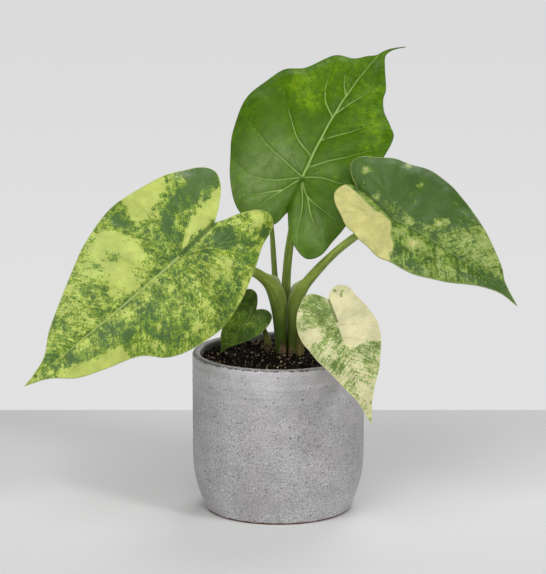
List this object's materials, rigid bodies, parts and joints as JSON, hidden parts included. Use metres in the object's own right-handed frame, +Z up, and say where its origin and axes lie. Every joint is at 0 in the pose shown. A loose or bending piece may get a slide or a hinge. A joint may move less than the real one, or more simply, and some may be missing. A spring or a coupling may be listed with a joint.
{
  "type": "potted_alocasia",
  "caption": "Young variegated alocasia with heart-shaped marbled leaves, rooted in gritty soil in a plain grey speckled stoneware pot",
  "frame": {"origin": "centre of the pot's flat base", "axes": "+Z up, +X to the right and -Y to the front, where the two front leaves hang"},
  "size_m": [0.3653, 0.2268, 0.3359],
  "materials": {
    "stoneware": "satin grey glaze with fine dark speckle",
    "soil": "dark crumbly peat with pale grit",
    "crown_bark": "rough brown bark",
    "green_leaf": "satin green leaf with pale veins",
    "marbled_leaf": "satin lime leaf marbled dark green",
    "half_cream_leaf": "satin leaf, half dark green, half cream",
    "cream_leaf": "satin cream leaf flecked green",
    "dark_leaf": "satin dark green leaf",
    "stalk": "smooth yellow-green stalk",
    "dry_sheath": "dry brown papery sheath"
  },
  "bodies": {
    "root": {"stoneware_pot": "stoneware", "potting_soil": "soil", "root_crown": "crown_bark", "top_leaf_blade": "green_leaf", "left_leaf_blade": "marbled_leaf", "right_leaf_blade": "half_cream_leaf", "front_leaf_blade": "cream_leaf", "small_leaf_blade": "dark_leaf", "top_leaf_stem": "stalk", "left_leaf_stem": "stalk", "right_leaf_stem": "stalk", "front_leaf_stem": "stalk", "small_leaf_stem": "stalk", "new_leaf_spear": "stalk", "dry_scale_left": "dry_sheath", "dry_scale_right": "dry_sheath", "dry_scale_back": "dry_sheath"}
  },
  "joints": []
}
